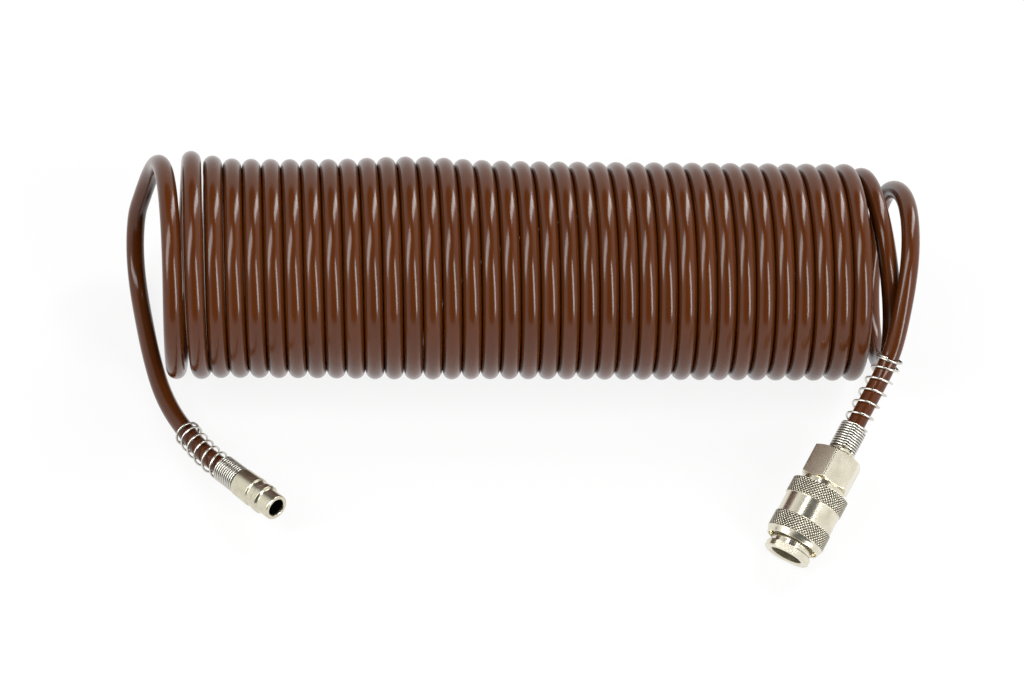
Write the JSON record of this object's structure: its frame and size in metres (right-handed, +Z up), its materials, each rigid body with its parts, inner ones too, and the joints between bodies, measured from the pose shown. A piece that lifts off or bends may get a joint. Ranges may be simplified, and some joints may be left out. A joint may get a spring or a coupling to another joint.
{
  "type": "coiled air hose",
  "caption": "Recoil air hose wound in a long close coil, with a plug fitting on one tail and a ball-lock quick coupler on the other, each behind a wire bend guard.",
  "frame": {"origin": "on the floor under the middle turn of the coil", "axes": "+X along the coil towards the coupler end, +Z up from the floor, the two fittings lie towards -Y"},
  "size_m": [0.3555, 0.1874, 0.1013],
  "materials": {
    "hose": "smooth extruded polyamide",
    "plated_fitting": "bright nickel plate on turned metal",
    "plated_sleeve": "bright nickel plate, diamond knurled bands",
    "guard_wire": "drawn spring wire, zinc plated",
    "spring_wire": "drawn spring wire",
    "ball_steel": "polished",
    "valve_brass": "turned",
    "seal_rubber": "matte"
  },
  "bodies": {
    "root": {"hose_coil": "hose", "hose_tail_plug": "hose", "hose_tail_coupler": "hose", "hose_end_plug": "hose", "hose_end_coupler": "hose", "plug_ferrule": "plated_fitting", "coupler_ferrule": "plated_fitting", "plug_body": "plated_fitting", "plug_spring_guard": "guard_wire", "coupler_spring_guard": "guard_wire", "coupler_rear_body": "plated_fitting", "body_seal": "seal_rubber", "coupler_front_body": "plated_fitting", "sleeve_stop_ring": "spring_wire", "valve_spring": "spring_wire", "plug_seal": "seal_rubber"},
    "sleeve_turn": {"sleeve_spring": "spring_wire"},
    "sleeve": {"lock_sleeve": "plated_sleeve"},
    "valve": {"valve_poppet": "valve_brass", "valve_seal": "seal_rubber"},
    "ball_1": {"locking_ball_1": "ball_steel"},
    "ball_2": {"locking_ball_2": "ball_steel"},
    "ball_3": {"locking_ball_3": "ball_steel"},
    "ball_4": {"locking_ball_4": "ball_steel"},
    "ball_5": {"locking_ball_5": "ball_steel"},
    "ball_6": {"locking_ball_6": "ball_steel"}
  },
  "joints": [
    {"name": "sleeve_spin", "type": "hinge", "parent": "root", "child": "sleeve_turn", "pos_m": [0.11392, -0.1223, 0.01351], "axis": [-0.4868, -0.7944, -0.3633], "continuous": true},
    {"name": "sleeve_slide", "type": "slide", "parent": "sleeve_turn", "child": "sleeve", "axis": [0.4868, 0.7944, 0.3633], "range_m": [0, 0.0024], "stiffness_N_per_m": 1500, "springref_m": -0.004, "deforming": ["sleeve_spring"]},
    {"name": "valve_slide", "type": "slide", "parent": "root", "child": "valve", "axis": [0.4868, 0.7944, 0.3633], "range_m": [0, 0.004], "stiffness_N_per_m": 500, "springref_m": -0.004, "deforming": ["valve_spring"]},
    {"name": "ball_slide_1", "type": "slide", "parent": "root", "child": "ball_1", "axis": [0.1898, 0.3097, -0.9317], "range_m": [0, 0.0011]},
    {"name": "ball_slide_2", "type": "slide", "parent": "root", "child": "ball_2", "axis": [0.8333, -0.2976, -0.4658], "range_m": [0, 0.0011]},
    {"name": "ball_slide_3", "type": "slide", "parent": "root", "child": "ball_3", "axis": [0.6435, -0.6074, 0.4658], "range_m": [0, 0.0011]},
    {"name": "ball_slide_4", "type": "slide", "parent": "root", "child": "ball_4", "axis": [-0.1898, -0.3097, 0.9317], "range_m": [0, 0.0011]},
    {"name": "ball_slide_5", "type": "slide", "parent": "root", "child": "ball_5", "axis": [-0.8333, 0.2976, 0.4658], "range_m": [0, 0.0011]},
    {"name": "ball_slide_6", "type": "slide", "parent": "root", "child": "ball_6", "axis": [-0.6435, 0.6074, -0.4658], "range_m": [0, 0.0011]}
  ],
  "couplings": [
    {"joint": "ball_slide_1", "follows": "sleeve_slide", "ratio": 0.45833},
    {"joint": "ball_slide_2", "follows": "sleeve_slide", "ratio": 0.45833},
    {"joint": "ball_slide_3", "follows": "sleeve_slide", "ratio": 0.45833},
    {"joint": "ball_slide_4", "follows": "sleeve_slide", "ratio": 0.45833},
    {"joint": "ball_slide_5", "follows": "sleeve_slide", "ratio": 0.45833},
    {"joint": "ball_slide_6", "follows": "sleeve_slide", "ratio": 0.45833}
  ]
}
